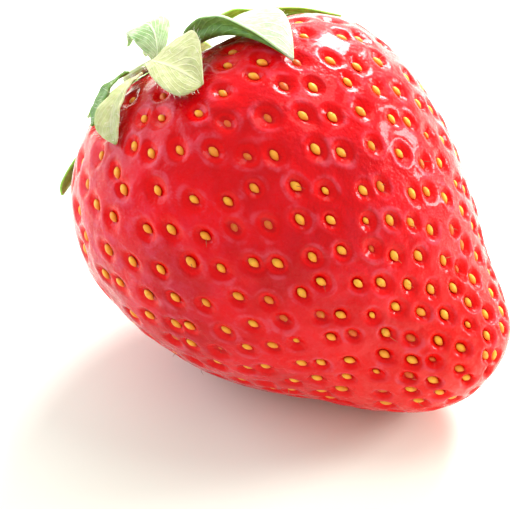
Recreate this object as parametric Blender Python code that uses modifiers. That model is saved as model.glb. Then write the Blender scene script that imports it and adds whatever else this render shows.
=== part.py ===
"""A ripe strawberry lying on its side: the berry with its seeds, its leafy cap and its stalk stub.

The berry is laid out along its own axis, from the stalk end (ring 0) to the tip (last ring):
local X runs towards the tip, local -Z is the side it lies on. It is then tipped nose down and
cut flat where it rests. The world origin is the middle of that flat spot, and Z is up.
"""

import bisect
import functools
import math

import bmesh
import bpy
from mathutils import Matrix, Vector

MM = 0.001

# Berry: one row for each ring, from the stalk end to the tip.
# (distance along the axis, radius, how far the ring's centre hangs to the side that it lies on,
# lean: how far the ring moves along the axis for each step out towards LEAN_TURN), in millimetres
RINGS = (
    (-2.1, 0.0, 1.8, 0.27),
    (-1.7, 3.6, 1.8, 0.27),
    (-0.3, 9.2, 1.8, 0.19),
    (3.0, 14.6, 1.8, 0.08),
    (7.6, 17.8, 1.8, 0.04),
    (13.2, 18.8, 1.65, 0.02),
    (19.0, 18.2, 1.55, 0.0),
    (24.5, 16.4, 1.35, 0.0),
    (29.3, 13.9, 0.95, 0.0),
    (33.6, 11.05, 0.45, 0.0),
    (37.8, 8.6, -0.5, 0.0),
    (40.9, 6.2, -1.6, 0.0),
    (42.6, 3.4, -1.9, 0.0),
    (43.1, 0.0, -1.4, 0.0),
)
LAST_RING = len(RINGS) - 1
LEAN_TURN = math.radians(40)
LOBES = ((2, 0.012, -0.6), (3, -0.010, 0.9))  # (waves round the berry, share of radius, phase)
NOSE_DOWN = math.radians(34.5)  # the axis dips this much towards the tip
FLATTENED = 0.0005  # how deep the flat spot cuts into the round berry
SKIN_STEPS = 2000  # steps from the stalk end to the tip, where lengths are measured over the skin
NORMAL_STEP = 0.02  # in rings and radians, either way
SHARP_ANGLE = math.radians(40)  # of the pits' edges

# Seeds, each in its own pit
SEED_SPACINGS = ((0, 3.9), (4, 3.9), (6, 3.5), (8, 3.1), (10, 2.75), (13, 2.4))  # (ring, millimetres)
BARE_TOP = 0.0045  # no seed this near the stalk end, measured over the skin
GOLDEN_TURN = math.pi * (3 - math.sqrt(5))  # from each seed to the next, round the axis
PIT_SHARE = 28  # per cent of the way to the neighbouring seed
PIT_WALL = 0.00034  # how far the pit narrows
PIT_DEPTH = 0.00055
SEED_HEIGHT = 0.00045
PIT_CLEARANCE = 0.0003  # no pit this near the level of the flat spot

# Leafy cap
HUB_RADIUS = 0.0026
HUB_THICKNESS = 0.0009
HUB_EDGE = 0.00025
HUB_STEPS = 28
GAP = 0.0003  # clear space between neighbouring pieces
LEAF_THICKNESS = 0.00045
LEAF_BASE_WIDTH = 0.0013
LEAF_TIP_WIDTH = 0.0006
LEAF_LENGTH_STEPS = 14
LEAF_WIDTH_STEPS = 6
LEAF_BEND = 0.5  # share of its half width over which a leaf turns up to its full rise

# Each leaf that lies over the berry's shoulder, in millimetres and degrees: (low half, high half,
# widest place as a share of its length, skew, route). Low and high are its sides towards smaller
# and larger turns, each as (width, rise), where the rise is its slope up from the leaf's middle.
# The skew is how much nearer the hub the high edge lies. The route runs from the hub to the tip
# as (distance over the skin from the stalk end, height above the skin, turn round the axis).
SEPALS = (
    (
        (2.6, 75), (8.0, 3), 0.40, 0.0,
        ((3.8, 0.5, 8), (8.0, 0.9, 2), (12.5, 1.3, -3), (17.0, 1.0, -5), (21.0, 0.5, -6)),
    ),
    (
        (3.0, 5), (3.0, 5), 0.40, 0.0,
        ((3.6, 0.4, 160), (7.5, 1.1, 160), (12.0, 1.3, 160), (16.0, 1.6, 160)),
    ),
    (
        (1.8, 5), (1.8, 5), 0.45, 0.0,
        ((3.6, 0.4, 228), (5.5, 0.6, 228), (7.5, 0.6, 228)),
    ),
    (
        (1.9, 25), (1.7, 15), 0.58, 0.0,
        ((3.9, 0.6, 301), (7.0, 0.8, 296), (10.0, 0.8, 289), (12.5, 0.7, 287), (14.8, 0.6, 288)),
    ),
)
BRACTS = (
    (
        (1.6, 50), (2.0, 10), 0.50, 0.0,
        ((3.8, 1.4, 66), (9.0, 1.8, 70), (14.0, 1.0, 69), (20.3, 0.6, 55)),
    ),
    (
        (1.9, 10), (1.9, 10), 0.40, 0.0,
        ((3.6, 1.2, 113), (7.5, 2.4, 113), (11.0, 2.8, 113), (14.5, 3.4, 113)),
    ),
    (
        (1.5, 0), (2.2, 15), 0.82, 0.0,
        ((3.6, 0.6, 196), (6.5, 0.45, 190), (10.0, 0.4, 188), (13.0, 0.8, 196), (15.6, 2.1, 206)),
    ),
    (
        (1.7, 5), (1.4, 10), 0.45, 0.0,
        ((3.6, 1.3, 284), (5.2, 1.5, 277), (7.5, 1.0, 270), (9.8, 0.5, 267)),
    ),
    (
        (2.4, 5), (4.8, 12), 0.68, 2.9,
        ((4.6, 1.2, 321), (8.0, 1.6, 323), (12.0, 1.5, 326), (16.6, 0.9, 328)),
    ),
)

# The leaf that stands up from the hub: its route as (out, up, aside) from the stalk end, in
# millimetres, where up is square to the skin there and out is towards its turn
STANDING_TURN = math.radians(342)
STANDING_HALF_WIDTH = 2.2
STANDING_WIDEST = 0.50
STANDING_TAPER = 1.6  # above 1 its sides run straighter to its two ends
STANDING_ROUTE = (
    (3.3, 0.4, 0.0),
    (3.3, 1.8, 0.6),
    (3.1, 3.2, 1.2),
    (2.5, 4.2, 1.3),
    (1.2, 4.4, 0.5),
    (0.5, 3.4, -0.7),
)

# Stalk stub, from the top of the hub: its route as (up, out), in millimetres, where out is towards
# its turn
STALK_RADIUS = 0.0006
STALK_TURN = math.radians(72)
STALK_ROUTE = ((0.0, 1.2), (0.35, 1.2), (0.75, 1.6), (0.9, 2.4))
STALK_PIECES = 9


def between(before, start, end, after, share):
    """The point at this share of the way from start to end, on a smooth curve through all four."""
    leaving = (end - before) / 2
    arriving = (after - start) / 2
    square = share * share
    cube = square * share
    return (
        start * (2 * cube - 3 * square + 1)
        + end * (3 * square - 2 * cube)
        + leaving * (cube - 2 * square + share)
        + arriving * (cube - square)
    )


def along_curve(points, place):
    """The point at this place on a smooth curve, counted in points from the second to the last but one."""
    last = len(points) - 3
    place = min(max(place, 0.0), last)
    index = min(int(place), last - 1)
    return between(*points[index : index + 4], place - index)


def open_route(route):
    """The route's points with one more straight past each end."""
    points = [Vector(point).to_3d() for point in route]
    return [2 * points[0] - points[1], *points, 2 * points[-1] - points[-2]]


def berry_rows():
    """The rings with a mirrored one past each pole, so that the curve crosses both poles square."""
    rows = [Vector((distance * MM, radius * MM, hang * MM, lean)) for distance, radius, hang, lean in RINGS]
    past_stalk = Vector((rows[1].x, -rows[1].y, rows[1].z, rows[1].w))
    past_tip = Vector((rows[-2].x, -rows[-2].y, rows[-2].z, rows[-2].w))
    return [past_stalk, *rows, past_tip]


BERRY_ROWS = berry_rows()


def skin_lengths():
    """How far each step from the stalk end to the tip is from the stalk end, over the skin."""
    lengths = [0.0]
    here = along_curve(BERRY_ROWS, 0.0)
    for number in range(1, SKIN_STEPS + 1):
        there = along_curve(BERRY_ROWS, LAST_RING * number / SKIN_STEPS)
        lengths.append(lengths[-1] + math.hypot(there.x - here.x, there.y - here.y))
        here = there
    return lengths


SKIN_LENGTHS = skin_lengths()


def place_at(length):
    """The ring place that lies this far from the stalk end, measured over the skin."""
    number = min(max(bisect.bisect_left(SKIN_LENGTHS, length), 1), SKIN_STEPS)
    before, after = SKIN_LENGTHS[number - 1 : number + 1]
    share = (length - before) / (after - before)
    return LAST_RING * (number - 1 + share) / SKIN_STEPS


def skin_point(place, turn):
    """A point on the berry's skin. The turn goes round the axis, from the upper side towards +Y."""
    distance, radius, hang, lean = along_curve(BERRY_ROWS, place)
    radius *= 1 + sum(share * math.cos(waves * turn + phase) for waves, share, phase in LOBES)
    distance += lean * radius * math.cos(turn - LEAN_TURN)
    return Vector((distance, radius * math.sin(turn), radius * math.cos(turn) - hang))


def skin_normal(place, turn):
    onward = skin_point(place + NORMAL_STEP, turn) - skin_point(place - NORMAL_STEP, turn)
    round_axis = skin_point(place, turn + NORMAL_STEP) - skin_point(place, turn - NORMAL_STEP)
    return onward.cross(round_axis).normalized()


def cap_up():
    """The way that the hub faces, square to the skin at the stalk end."""
    lean = RINGS[0][3]
    return Vector((-1.0, lean * math.sin(LEAN_TURN), lean * math.cos(LEAN_TURN))).normalized()


def material(name, color, roughness, subsurface=0.0):
    made = bpy.data.materials.new(name)
    made.use_nodes = True
    shader = made.node_tree.nodes["Principled BSDF"]
    shader.inputs["Base Color"].default_value = (*color, 1.0)
    shader.inputs["Roughness"].default_value = roughness
    shader.inputs["Metallic"].default_value = 0.0
    shader.inputs["Subsurface Weight"].default_value = subsurface
    made.diffuse_color = (*color, 1.0)
    return made


def new_object(name, mesh, surface, collection, parent):
    mesh.materials.append(surface)
    made = bpy.data.objects.new(name, mesh)
    made.parent = parent
    collection.objects.link(made)
    return made


def mesh_from(name, form):
    mesh = bpy.data.meshes.new(name)
    form.to_mesh(mesh)
    form.free()
    mesh.shade_smooth()
    return mesh


def tilt():
    return Matrix.Rotation(NOSE_DOWN, 3, "Y")


def seed_spacing(place):
    """How far apart the seeds are at this ring."""
    for (start, wide), (end, close) in zip(SEED_SPACINGS, SEED_SPACINGS[1:]):
        if place <= end:
            return (wide + (close - wide) * (place - start) / (end - start)) * MM
    return SEED_SPACINGS[-1][1] * MM


def seed_places():
    """Every seed as (ring place, turn): a spiral from the stalk end to the tip that fills the skin evenly."""
    seeds = []
    due = 0.5
    room = 0.0
    for number, (before, after) in enumerate(zip(SKIN_LENGTHS, SKIN_LENGTHS[1:])):
        place = LAST_RING * number / SKIN_STEPS
        cell = seed_spacing(place) ** 2 * math.sqrt(3) / 2
        if before > BARE_TOP:
            room += math.tau * along_curve(BERRY_ROWS, place).y * (after - before) / cell
        if room >= due:
            seeds.append((place, (len(seeds) * GOLDEN_TURN) % math.tau))
            due += 1.0
    return seeds


def turn_out(form):
    """Makes every face of a closed form look outwards."""
    bmesh.ops.recalc_face_normals(form, faces=form.faces)
    if form.calc_volume(signed=True) < 0:
        bmesh.ops.reverse_faces(form, faces=form.faces)
    form.normal_update()


def lowest_level(form, up):
    return min(point.co.dot(up) for point in form.verts)


def local_up():
    return tilt().inverted() @ Vector((0.0, 0.0, 1.0))


def berry_form():
    """The skin as a net with a knot at each seed, whose knots are opened into pits with a seed in each."""
    form = bmesh.new()
    for place, turn in [(0.0, 0.0), *seed_places()]:
        polar = math.pi * place / LAST_RING
        ring = math.sin(polar)
        form.verts.new((ring * math.cos(turn), ring * math.sin(turn), math.cos(polar)))
    bmesh.ops.convex_hull(form, input=form.verts)
    opened = bmesh.ops.bevel(
        form,
        geom=form.verts,
        offset=PIT_SHARE,
        offset_type="PERCENT",
        affect="VERTICES",
        segments=1,
        profile=0.5,
        material=-1,
    )
    for point in form.verts:
        direction = point.co.normalized()
        place = LAST_RING * math.acos(max(-1.0, min(1.0, direction.z))) / math.pi
        point.co = skin_point(place, math.atan2(direction.y, direction.x))
    turn_out(form)
    up = local_up()
    level = lowest_level(form, up) + FLATTENED + PIT_CLEARANCE
    stalk_end = skin_point(0.0, 0.0)
    pits = [
        face
        for face in opened["faces"]
        if min(point.co.dot(up) for point in face.verts) > level
        and (face.calc_center_median() - stalk_end).length > BARE_TOP
    ]
    bmesh.ops.inset_individual(form, faces=pits, thickness=PIT_WALL, depth=-PIT_DEPTH, use_even_offset=True)
    bmesh.ops.poke(form, faces=pits, offset=SEED_HEIGHT, center_mode="MEAN")
    return form


def cut_rest_spot(form):
    """Cuts the side it lies on flat, and gives the middle of the flat face."""
    up = local_up()
    result = bmesh.ops.bisect_plane(
        form,
        geom=[*form.verts, *form.edges, *form.faces],
        plane_co=up * (lowest_level(form, up) + FLATTENED),
        plane_no=up,
        clear_inner=True,
    )
    rim = [item for item in result["geom_cut"] if isinstance(item, bmesh.types.BMEdge)]
    spot = bmesh.ops.holes_fill(form, edges=rim, sides=0)["faces"][0]
    spot.smooth = False
    return spot.calc_center_bounds()


def add_berry(collection, parent):
    form = berry_form()
    middle = cut_rest_spot(form)
    turn_out(form)
    mesh = mesh_from("berry", form)
    mesh.set_sharp_from_angle(angle=SHARP_ANGLE)
    red = material("berry_skin", (0.63, 0.017, 0.02), 0.22, subsurface=0.2)
    new_object("berry", mesh, red, collection, parent)
    return middle


def leaf_half_width(share, width, belly):
    """Half the leaf's width at this share of its length, where the belly goes from 0 to 1."""
    ends = (LEAF_BASE_WIDTH * (1 - share) ** 2 + LEAF_TIP_WIDTH * share) / 2
    return width * belly + ends * (1 - belly)


def leaf_belly(share, widest):
    """0 at the leaf's two ends and 1 where it is widest."""
    return max(math.sin(math.pi * share ** (math.log(0.5) / math.log(widest))), 0.0)


def lying_leaf_point(leaf, share, across):
    """A point of a leaf that lies over the shoulder, across from its low edge (-1) to its high edge (1)."""
    low, high, widest, skew, route = leaf
    width, rise = low if across < 0 else high
    distance, height, turn = along_curve(open_route(route), share * (len(route) - 1))
    belly = leaf_belly(share, widest)
    side = abs(across) * leaf_half_width(share, width * MM, belly)
    slope = math.radians(rise) * min(abs(across) / LEAF_BEND, 1.0)
    place = place_at((distance - skew * across * belly) * MM)
    reach = math.copysign(side * math.cos(slope), across) / (along_curve(BERRY_ROWS, place).y + height * MM)
    lift = height * MM + side * math.sin(slope) * math.sqrt(belly)
    turn = math.radians(turn) + reach
    return skin_point(place, turn) + lift * skin_normal(place, turn)


def standing_leaf_point(share, across):
    up = cap_up()
    towards = Vector((0.0, math.sin(STANDING_TURN), math.cos(STANDING_TURN)))
    out = (towards - up * towards.dot(up)).normalized()
    aside = up.cross(out)
    away, height, shift = along_curve(open_route(STANDING_ROUTE), share * (len(STANDING_ROUTE) - 1)) * MM
    belly = leaf_belly(share, STANDING_WIDEST) ** STANDING_TAPER
    shift += across * leaf_half_width(share, STANDING_HALF_WIDTH * MM, belly)
    return skin_point(0.0, 0.0) + out * away + up * height + aside * shift


def add_leaf(name, point_at, surface, collection, parent):
    """A thin leaf, from the grid of points that point_at(share of its length, across) gives."""
    form = bmesh.new()
    bmesh.ops.create_grid(form, x_segments=LEAF_LENGTH_STEPS, y_segments=LEAF_WIDTH_STEPS, size=0.5)
    for point in form.verts:
        share = min(max(point.co.x + 0.5, 0.0), 1.0)
        point.co = point_at(share, 2 * point.co.y)
    face_outwards(form)
    made = new_object(name, mesh_from(name, form), surface, collection, parent)
    wall = made.modifiers.new("wall", "SOLIDIFY")
    wall.thickness = LEAF_THICKNESS
    wall.offset = 1.0
    return made


def face_outwards(form):
    """Turns an open leaf so that its faces look away from the berry's axis."""
    form.normal_update()
    middle = Vector((RINGS[5][0] * MM, 0.0, 0.0))
    facing = sum(face.normal.dot(face.calc_center_median() - middle) for face in form.faces)
    if facing < 0:
        bmesh.ops.reverse_faces(form, faces=form.faces)


def add_hub(collection, parent):
    """The small disc that holds the leaves, turned round the way that the cap faces."""
    top = HUB_THICKNESS
    radius = HUB_RADIUS
    outline = (
        (0.0, top),
        (radius - HUB_EDGE * 3, top),
        (radius - HUB_EDGE, top - HUB_EDGE / 2),
        (radius, top - HUB_EDGE * 1.5),
        (radius, HUB_EDGE),
        (radius - HUB_EDGE, 0.0),
        (0.0, 0.0),
    )
    form = bmesh.new()
    points = [form.verts.new((x, 0.0, z)) for x, z in outline]
    for start, end in zip(points, points[1:]):
        form.edges.new((start, end))
    mesh = mesh_from("calyx_hub", form)
    green = material("calyx_hub", (0.35, 0.45, 0.12), 0.5)
    hub = new_object("calyx_hub", mesh, green, collection, parent)
    hub.location = skin_point(0.0, 0.0) + cap_up() * GAP
    hub.rotation_euler = cap_up().to_track_quat("Z", "Y").to_euler()
    turned = hub.modifiers.new("turned", "SCREW")
    turned.steps = HUB_STEPS
    turned.render_steps = HUB_STEPS
    turned.use_merge_vertices = True
    turned.merge_threshold = 0.00001
    return hub


def add_stalk(collection, parent):
    """A short stub of stalk on the hub, bent over to its turn."""
    curve = bpy.data.curves.new("stalk_stub", "CURVE")
    curve.dimensions = "3D"
    curve.bevel_depth = STALK_RADIUS
    curve.bevel_resolution = 3
    curve.use_fill_caps = True
    up = cap_up()
    out = Vector((0.0, math.sin(STALK_TURN), math.cos(STALK_TURN)))
    route = open_route([(up * height + out * shift) * MM for height, shift in STALK_ROUTE])
    line = curve.splines.new("POLY")
    line.points.add(STALK_PIECES)
    for number, point in enumerate(line.points):
        place = number * (len(STALK_ROUTE) - 1) / STALK_PIECES
        point.co = (*along_curve(route, place), 1.0)
    curve.materials.append(material("stalk", (0.42, 0.52, 0.16), 0.5))
    stalk = bpy.data.objects.new("stalk_stub", curve)
    stalk.parent = parent
    stalk.location = skin_point(0.0, 0.0) + up * (2 * GAP + HUB_THICKNESS)
    collection.objects.link(stalk)
    return stalk


def build():
    for old in list(bpy.data.objects):
        bpy.data.objects.remove(old, do_unlink=True)
    collection = bpy.data.collections.new("strawberry")
    bpy.context.scene.collection.children.link(collection)
    axes = bpy.data.objects.new("berry_axes", None)
    collection.objects.link(axes)
    middle = add_berry(collection, axes)
    axes.rotation_euler = (0.0, NOSE_DOWN, 0.0)
    axes.location = -(tilt() @ middle)
    sepal_green = material("sepal", (0.33, 0.46, 0.12), 0.55)
    bract_green = material("bract", (0.45, 0.52, 0.20), 0.6)
    sepals = [functools.partial(lying_leaf_point, leaf) for leaf in SEPALS]
    bracts = [functools.partial(lying_leaf_point, leaf) for leaf in BRACTS]
    for number, point_at in enumerate([*sepals, standing_leaf_point], 1):
        add_leaf(f"sepal_{number}", point_at, sepal_green, collection, axes)
    for number, point_at in enumerate(bracts, 1):
        add_leaf(f"epicalyx_bract_{number}", point_at, bract_green, collection, axes)
    add_hub(collection, axes)
    add_stalk(collection, axes)


build()
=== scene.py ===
"""Looks of a ripe strawberry lying on its side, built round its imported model.

The pitted red berry and every leaf of its cap are made here in fine detail, in the place of the plain
solids that stand for them. The seeds, their dry threads and the leaf hairs are new. The hub and the
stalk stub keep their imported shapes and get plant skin.
"""

import functools
import math
import random

import bmesh
import bpy
import numpy as np
from mathutils import Matrix, Vector


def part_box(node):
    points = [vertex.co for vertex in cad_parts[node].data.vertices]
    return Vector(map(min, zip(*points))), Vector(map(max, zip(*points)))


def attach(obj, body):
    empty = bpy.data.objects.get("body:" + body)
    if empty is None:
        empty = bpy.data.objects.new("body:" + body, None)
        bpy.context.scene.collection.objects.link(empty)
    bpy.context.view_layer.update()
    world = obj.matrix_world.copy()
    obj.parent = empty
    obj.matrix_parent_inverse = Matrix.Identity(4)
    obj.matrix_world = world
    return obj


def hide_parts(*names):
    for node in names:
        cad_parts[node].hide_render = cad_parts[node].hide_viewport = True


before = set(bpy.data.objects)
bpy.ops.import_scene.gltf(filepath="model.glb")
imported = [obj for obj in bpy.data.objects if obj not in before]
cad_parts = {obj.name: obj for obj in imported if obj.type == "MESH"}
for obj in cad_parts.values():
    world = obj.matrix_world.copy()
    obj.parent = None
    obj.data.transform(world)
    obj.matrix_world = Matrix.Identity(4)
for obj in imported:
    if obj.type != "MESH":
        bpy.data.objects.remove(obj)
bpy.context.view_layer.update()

MM = 0.001
CHANCE_START = 11  # the first number of every random draw

# The berry's own axes: X from the stalk end to the tip, -Z the side it lies on, in millimetres.
# One row for each ring: (distance along the axis, radius, how far its centre hangs down, lean: how
# far it moves along the axis for each step out towards LEAN_TURN)
RINGS = (
    (-2.1, 0.0, 1.8, 0.27),
    (-1.7, 3.6, 1.8, 0.27),
    (-0.3, 9.2, 1.8, 0.19),
    (3.0, 14.6, 1.8, 0.08),
    (7.6, 17.8, 1.8, 0.04),
    (13.2, 18.8, 1.65, 0.02),
    (19.0, 18.2, 1.55, 0.0),
    (24.5, 16.4, 1.35, 0.0),
    (29.3, 13.9, 0.95, 0.0),
    (33.6, 11.05, 0.45, 0.0),
    (37.8, 8.6, -0.5, 0.0),
    (40.9, 6.2, -1.6, 0.0),
    (42.6, 3.4, -1.9, 0.0),
    (43.1, 0.0, -1.4, 0.0),
)
LAST_RING = len(RINGS) - 1
BERRY_MIDDLE = (13.2, 0.0, 0.0)
LEAN_TURN = math.radians(40)
LOBES = ((2, 0.012, -0.6), (3, -0.010, 0.9))
NOSE_DOWN = math.radians(34.5)
FLATTENED = 0.5  # how much of its height is pressed away, in millimetres
PRESSED_SOFT = 0.15 * MM  # below this height the skin rounds into the flat spot

# Camera: turned round the berry to its front right, and looking down on it, in metres
CAMERA_TURN = math.radians(-57.5)
CAMERA_RISE = math.radians(38)
CAMERA_DISTANCE = 0.30
VIEW_WIDTH = 0.0529  # how much it sees at the berry's distance
AIM_RIGHT = 0.00925  # from the stalk end
AIM_DOWN = 0.01745
SENSOR_WIDTH = 36

# Lights round the berry's middle: (name, (right, away, up) in millimetres, width in metres, watts, colour)
LIGHTS = (
    ("key", (170, 60, 390), 0.22, 0.6, (1.0, 0.98, 0.95)),
    ("high_window", (150, 350, 250), 0.20, 4.2, (1.0, 1.0, 1.0)),
    ("side_window", (430, 120, 130), 0.14, 1.7, (1.0, 1.0, 1.0)),
    ("backdrop", (60, 460, 90), 0.60, 1.0, (1.0, 1.0, 1.0)),
    ("left_fill", (-330, 100, 110), 0.30, 0.9, (0.70, 0.76, 1.0)),
)
LIT_MIDDLE = (0, 0, 0.018)  # in metres
SKY_COLOR = (0.98, 0.97, 0.90)
SKY_STRENGTH = 0.88
FLOOR_HALF_WIDTH = 1.5
FLOOR_TONES = ((0.85, 0.90, 0.79), (0.88, 0.93, 0.84))

# Skin, in millimetres, where a pit is a bowl with a steeper wall right round the seed
SKIN_CUTS = 122
BOWL_SHARE = 0.36  # its radius, of the way to the next seed
BOWL_LONG = 1.12
BOWL_WIDE = 0.90
BOWL_TOP_STRETCH = 0.3  # how much longer the bowls are next to the cap
BOWL_WOBBLE = (0.12, 1.7)  # (share of the radius, size)
BOWL_DEPTH = 0.38
BOWL_ROUNDING = 0.8
NEAR_CAP = (3.6, 1.6)  # from this ring to this one
NEAR_TIP = (7.0, 11.0)
TIP_DEEPER = 0.5
WALL_DEPTH = 0.10
RIM_PLACE = 1.04  # of the bowl's radius
RIM_SPREAD = 0.25
RIM_HEIGHT = 0.06
CUSHION = 0.05  # how far the flesh swells between the pits
TIP_CUSHION = 0.14
SKIN_WAVES = ((0.12, 6.0), (0.04, 1.8), (0.018, 1.0))  # (height, size)
SEED_SPACINGS = ((0, 3.9), (4, 3.9), (6, 3.5), (8, 3.1), (10, 2.75), (13, 2.4))  # (ring, millimetres)
SEED_STRAY = 0.11  # of the way to the next seed
SEED_ENDS = (0.3, 0.05)  # no seed nearer to the first and last ring, in rings
BARE_TOP = 4.5
RING_SPACING = 5.5  # about, over the skin
GOLDEN_TURN = math.pi * (3 - math.sqrt(5))

# Seeds, in millimetres, and the share of them that keeps its dry thread
SEED_LENGTH = 1.22
SEED_WIDTH = 0.76
SEED_THICKNESS = 0.56
SEED_RISE = 0.04  # its middle over the bottom of its bowl
RIPE_SUNK = 0.78  # seeds riper than this sink into the flesh
PIT_SIZES = (0.92, 1.08)  # (least, most), of the plain size
PIT_DEPTHS = (0.85, 1.15)
SEED_SIZES = (0.90, 1.08)
SMALL_SEED_SIZES = (0.6, 0.75)
SMALL_SEEDS = 0.06  # the share of the seeds that are small
SEED_TWIST = 0.22  # radians, either way
STYLE_SHARE = 0.14
STYLE_RADIUS = 0.032
STYLE_RANGES = (  # (least, most)
    (-0.4, 0.9),  # lean towards the tip
    (-0.9, 0.9),  # lean aside
    (0.1, 0.7),  # droop towards the tip
    (-0.5, 0.5),  # droop aside
    (-0.3, 0.3),  # root, off the seed's middle
    (0.4, 0.9),  # length
)

# Each leaf over the berry's shoulder, in millimetres and degrees: (low half, high half, widest place
# as a share of its length, skew, route). Low and high are its sides towards smaller and larger turns,
# each as (width, rise). The skew is how much nearer the hub the high edge lies. The route is rows of
# (distance over the skin from the stalk end, height above the skin, turn round the axis).
LEAVES = {
    "sepal_1": (
        (2.6, 75), (8.0, 3), 0.40, 0.0,
        ((3.8, 0.5, 8), (8.0, 0.9, 2), (12.5, 1.3, -3), (17.0, 1.0, -5), (21.0, 0.5, -6)),
    ),
    "sepal_2": (
        (3.0, 5), (3.0, 5), 0.40, 0.0,
        ((3.6, 0.4, 160), (7.5, 1.1, 160), (12.0, 1.3, 160), (16.0, 1.6, 160)),
    ),
    "sepal_3": (
        (1.8, 5), (1.8, 5), 0.45, 0.0,
        ((3.6, 0.4, 228), (5.5, 0.6, 228), (7.5, 0.6, 228)),
    ),
    "sepal_4": (
        (1.9, 25), (1.7, 15), 0.58, 0.0,
        ((3.9, 0.6, 301), (7.0, 0.8, 296), (10.0, 0.8, 289), (12.5, 0.7, 287), (14.8, 0.6, 288)),
    ),
    "epicalyx_bract_1": (
        (1.6, 50), (2.0, 10), 0.50, 0.0,
        ((3.8, 1.4, 66), (9.0, 1.8, 70), (14.0, 1.0, 69), (20.3, 0.6, 55)),
    ),
    "epicalyx_bract_2": (
        (1.9, 10), (1.9, 10), 0.40, 0.0,
        ((3.6, 1.2, 113), (7.5, 2.4, 113), (11.0, 2.8, 113), (14.5, 3.4, 113)),
    ),
    "epicalyx_bract_3": (
        (1.5, 0), (2.2, 15), 0.82, 0.0,
        ((3.6, 0.6, 196), (6.5, 0.45, 190), (10.0, 0.4, 188), (13.0, 0.8, 196), (15.6, 2.1, 206)),
    ),
    "epicalyx_bract_4": (
        (1.7, 5), (1.4, 10), 0.45, 0.0,
        ((3.6, 1.3, 284), (5.2, 1.5, 277), (7.5, 1.0, 270), (9.8, 0.5, 267)),
    ),
    "epicalyx_bract_5": (
        (2.4, 5), (4.8, 12), 0.68, 2.9,
        ((4.6, 1.2, 321), (8.0, 1.6, 323), (12.0, 1.5, 326), (16.6, 0.9, 328)),
    ),
}
LEAF_BASE_WIDTH = 1.3
LEAF_TIP_WIDTH = 0.35
LEAF_THICKNESS = 0.26
LEAF_BEND = 0.5  # the share of each side over which the leaf folds up
LEAF_RUFFLE = 0.085
LEAF_GRID = (56, 24)
HAIRS_EACH = 60
HAIRS_ON_EDGE = 0.75
HAIR_RADIUS = 0.018
HAIR_LENGTHS = (0.35, 0.85)

# Each leaf's (outer side, inner side), each as (dark green, pale green, roughness); the highlight greens
# hold a painted highlight and the shade greens painted shade
FRESH = ((0.09, 0.22, 0.015), (0.32, 0.48, 0.07), 0.45)
DRY = ((0.34, 0.36, 0.14), (0.52, 0.52, 0.30), 0.8)
LIME = ((0.13, 0.36, 0.02), (0.34, 0.62, 0.09), 0.5)
# Pale greens with a painted highlight, for a side in full light
PAINTED_HIGHLIGHT_GREENS = ((0.30, 0.40, 0.22), (0.58, 0.66, 0.46), 0.6)
# Dark greens with painted shade, for a side that lies in shadow
PAINTED_SHADE_GREENS = ((0.06, 0.16, 0.015), (0.18, 0.34, 0.05), 0.5)
SOFT = ((0.26, 0.40, 0.16), (0.66, 0.72, 0.52), 0.7)
STANDING_LEAF = "sepal_5"
LEAF_LOOKS = {
    # Painted highlight on sepal_1's outer side and painted shade on its inner side
    "sepal_1": (PAINTED_HIGHLIGHT_GREENS, PAINTED_SHADE_GREENS),
    "sepal_2": (FRESH, DRY),
    "sepal_3": (FRESH, DRY),
    "sepal_4": (DRY, FRESH),
    STANDING_LEAF: (SOFT, SOFT),
    "epicalyx_bract_1": (LIME, LIME),
    "epicalyx_bract_2": (LIME, LIME),
    "epicalyx_bract_3": (LIME, LIME),
    # Painted shade on both sides of this leaf
    "epicalyx_bract_4": (PAINTED_SHADE_GREENS, PAINTED_SHADE_GREENS),
    "epicalyx_bract_5": (DRY, FRESH),
}

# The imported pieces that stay, each with its green
PLANT_SKINS = {"calyx_hub": (0.42, 0.48, 0.16), "stalk_stub": (0.40, 0.50, 0.14)}

# The leaf that stands up from the hub: rows of (out, up, aside) from the stalk end, in millimetres
STANDING_TURN = math.radians(342)
STANDING_HALF_WIDTH = 2.2
STANDING_WIDEST = 0.50
STANDING_TAPER = 1.6  # above 1 its sides run straighter to its two ends
STANDING_ROUTE = (
    (3.3, 0.4, 0.0),
    (3.3, 1.8, 0.6),
    (3.1, 3.2, 1.2),
    (2.5, 4.2, 1.3),
    (1.2, 4.4, 0.5),
    (0.5, 3.4, -0.7),
)

# Skin reds and pinks; the net and rim pinks are painted sheen and the crevice red is painted shade
DARK_RED = (0.48, 0.001, 0.003)
RIPE_RED = (0.72, 0.002, 0.005)
TIP_RED = (0.80, 0.010, 0.008)
SHOULDER_RED = (0.56, 0.020, 0.014)
# Painted sheen: paler pinks laid on the net between the pits, on the stalk end's half and towards the tip
NET_SHEEN_PINK = (0.56, 0.062, 0.140)
TIP_NET_SHEEN_PINK = (0.82, 0.090, 0.080)
# Painted sheen round the pits' rims
RIM_SHEEN_PINK = (0.66, 0.11, 0.17)
PIT_RED = (0.68, 0.001, 0.003)
TIP_PIT_RED = (0.88, 0.006, 0.004)
# Painted shade in the crevices right round the seeds
CREVICE_SHADE_RED = (0.40, 0.001, 0.003)

# Where each of them shows: (mask from, mask to, least, most), with least and most left out for 0 and 1
PATCH_SPAN = (0.32, 0.72)
STREAK_SPAN = (0.42, 0.60, 0.25, 1.0)
TIP_SPAN = (0.45, 0.9, 0.0, 0.85)
SHOULDER_SPAN = (0.22, 0.05, 0.0, 0.5)
# The next four place the painted pink sheen on the net: low on the stalk end's half, at the tip, and its
# tint along the berry
LOW_SPAN = (0.033, 0.019)  # height over the floor, in metres
STALK_END_NET_SPAN = (0.52, 0.26, 0.06, 0.55)
TIP_NET_SPAN = (0.45, 0.85, 0.05, 0.40)
NET_TINT_SPAN = (0.45, 0.75)
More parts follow.
